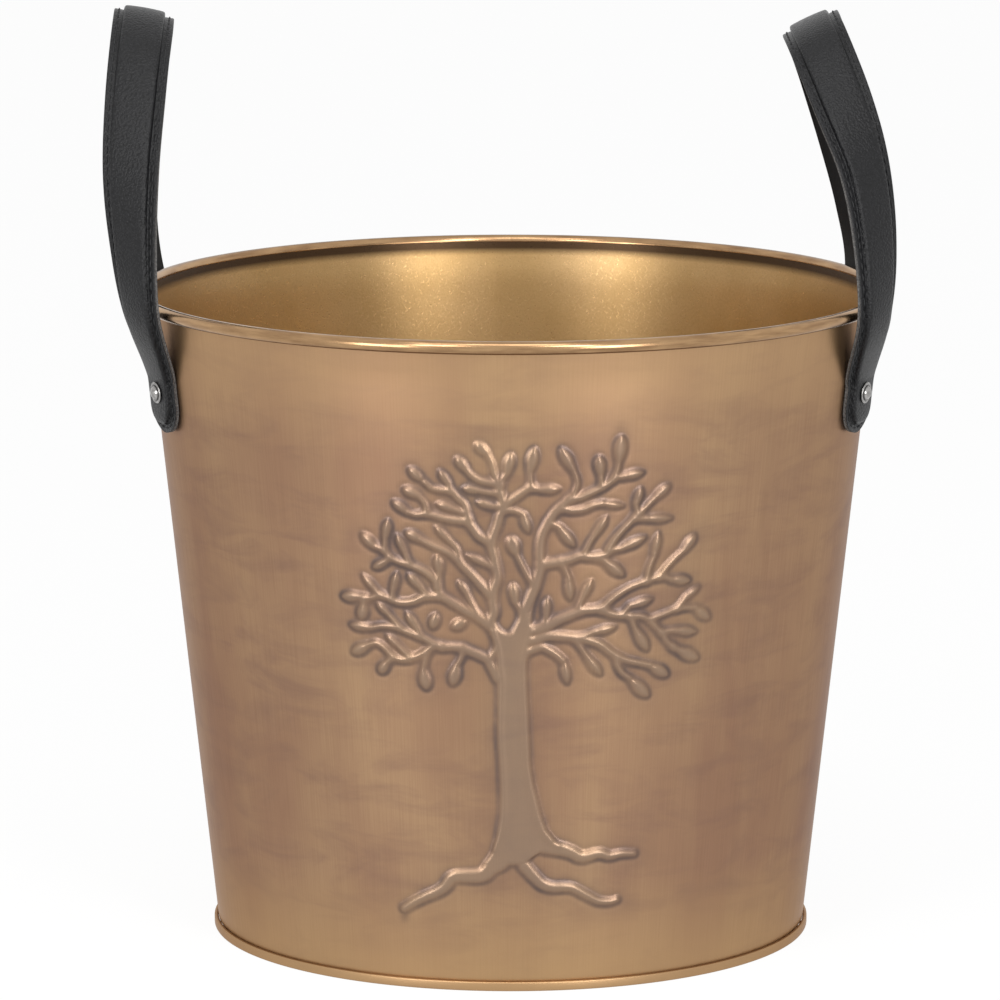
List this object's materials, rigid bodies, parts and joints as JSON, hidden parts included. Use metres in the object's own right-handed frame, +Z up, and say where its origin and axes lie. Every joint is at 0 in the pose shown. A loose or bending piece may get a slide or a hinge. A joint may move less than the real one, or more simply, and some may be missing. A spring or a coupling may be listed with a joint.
{
  "type": "log bucket",
  "caption": "Tapered round metal log bucket with a tree embossed on its front, a rolled rim and padded leather strap handles riveted at the sides.",
  "frame": {"origin": "centre of the foot ring, on the ground", "axes": "+Z up, the embossed tree faces -Y, the handles stand at +X and -X"},
  "size_m": [0.3558, 0.34, 0.419],
  "materials": {
    "antique_brass": "satin",
    "wire": "satin",
    "backing_leather": "matte",
    "core_felt": "matte",
    "cover_leather": "satin",
    "thread": "matte",
    "nickel": "polished",
    "washer_steel": "satin"
  },
  "bodies": {
    "bucket": {"bucket_wall": "antique_brass", "bucket_floor": "antique_brass", "rim_wire": "wire", "right_backing_tabs": "backing_leather", "right_core_tabs": "core_felt", "right_cover_tabs": "cover_leather", "right_stitching_tabs": "thread", "right_rivets": "nickel", "right_burrs": "washer_steel", "left_backing_tabs": "backing_leather", "left_core_tabs": "core_felt", "left_cover_tabs": "cover_leather", "left_stitching_tabs": "thread", "left_rivets": "nickel", "left_burrs": "washer_steel"},
    "right_handle": {"right_backing_loop": "backing_leather", "right_core_loop": "core_felt", "right_cover_loop": "cover_leather", "right_stitching_loop": "thread"},
    "left_handle": {"left_backing_loop": "backing_leather", "left_core_loop": "core_felt", "left_cover_loop": "cover_leather", "left_stitching_loop": "thread"}
  },
  "joints": [
    {"name": "right_handle_fold", "type": "hinge", "parent": "bucket", "child": "right_handle", "pos_m": [0.16171, 0, 0.3088], "axis": [0, 1, 0], "range_deg": [-70, 95], "stiffness_Nm_per_rad": 0.12, "springref_deg": 1.43},
    {"name": "left_handle_fold", "type": "hinge", "parent": "bucket", "child": "left_handle", "pos_m": [-0.16916, 0, 0.3088], "axis": [0, -1, 0], "range_deg": [-50, 80], "stiffness_Nm_per_rad": 0.12, "springref_deg": 0.17}
  ]
}
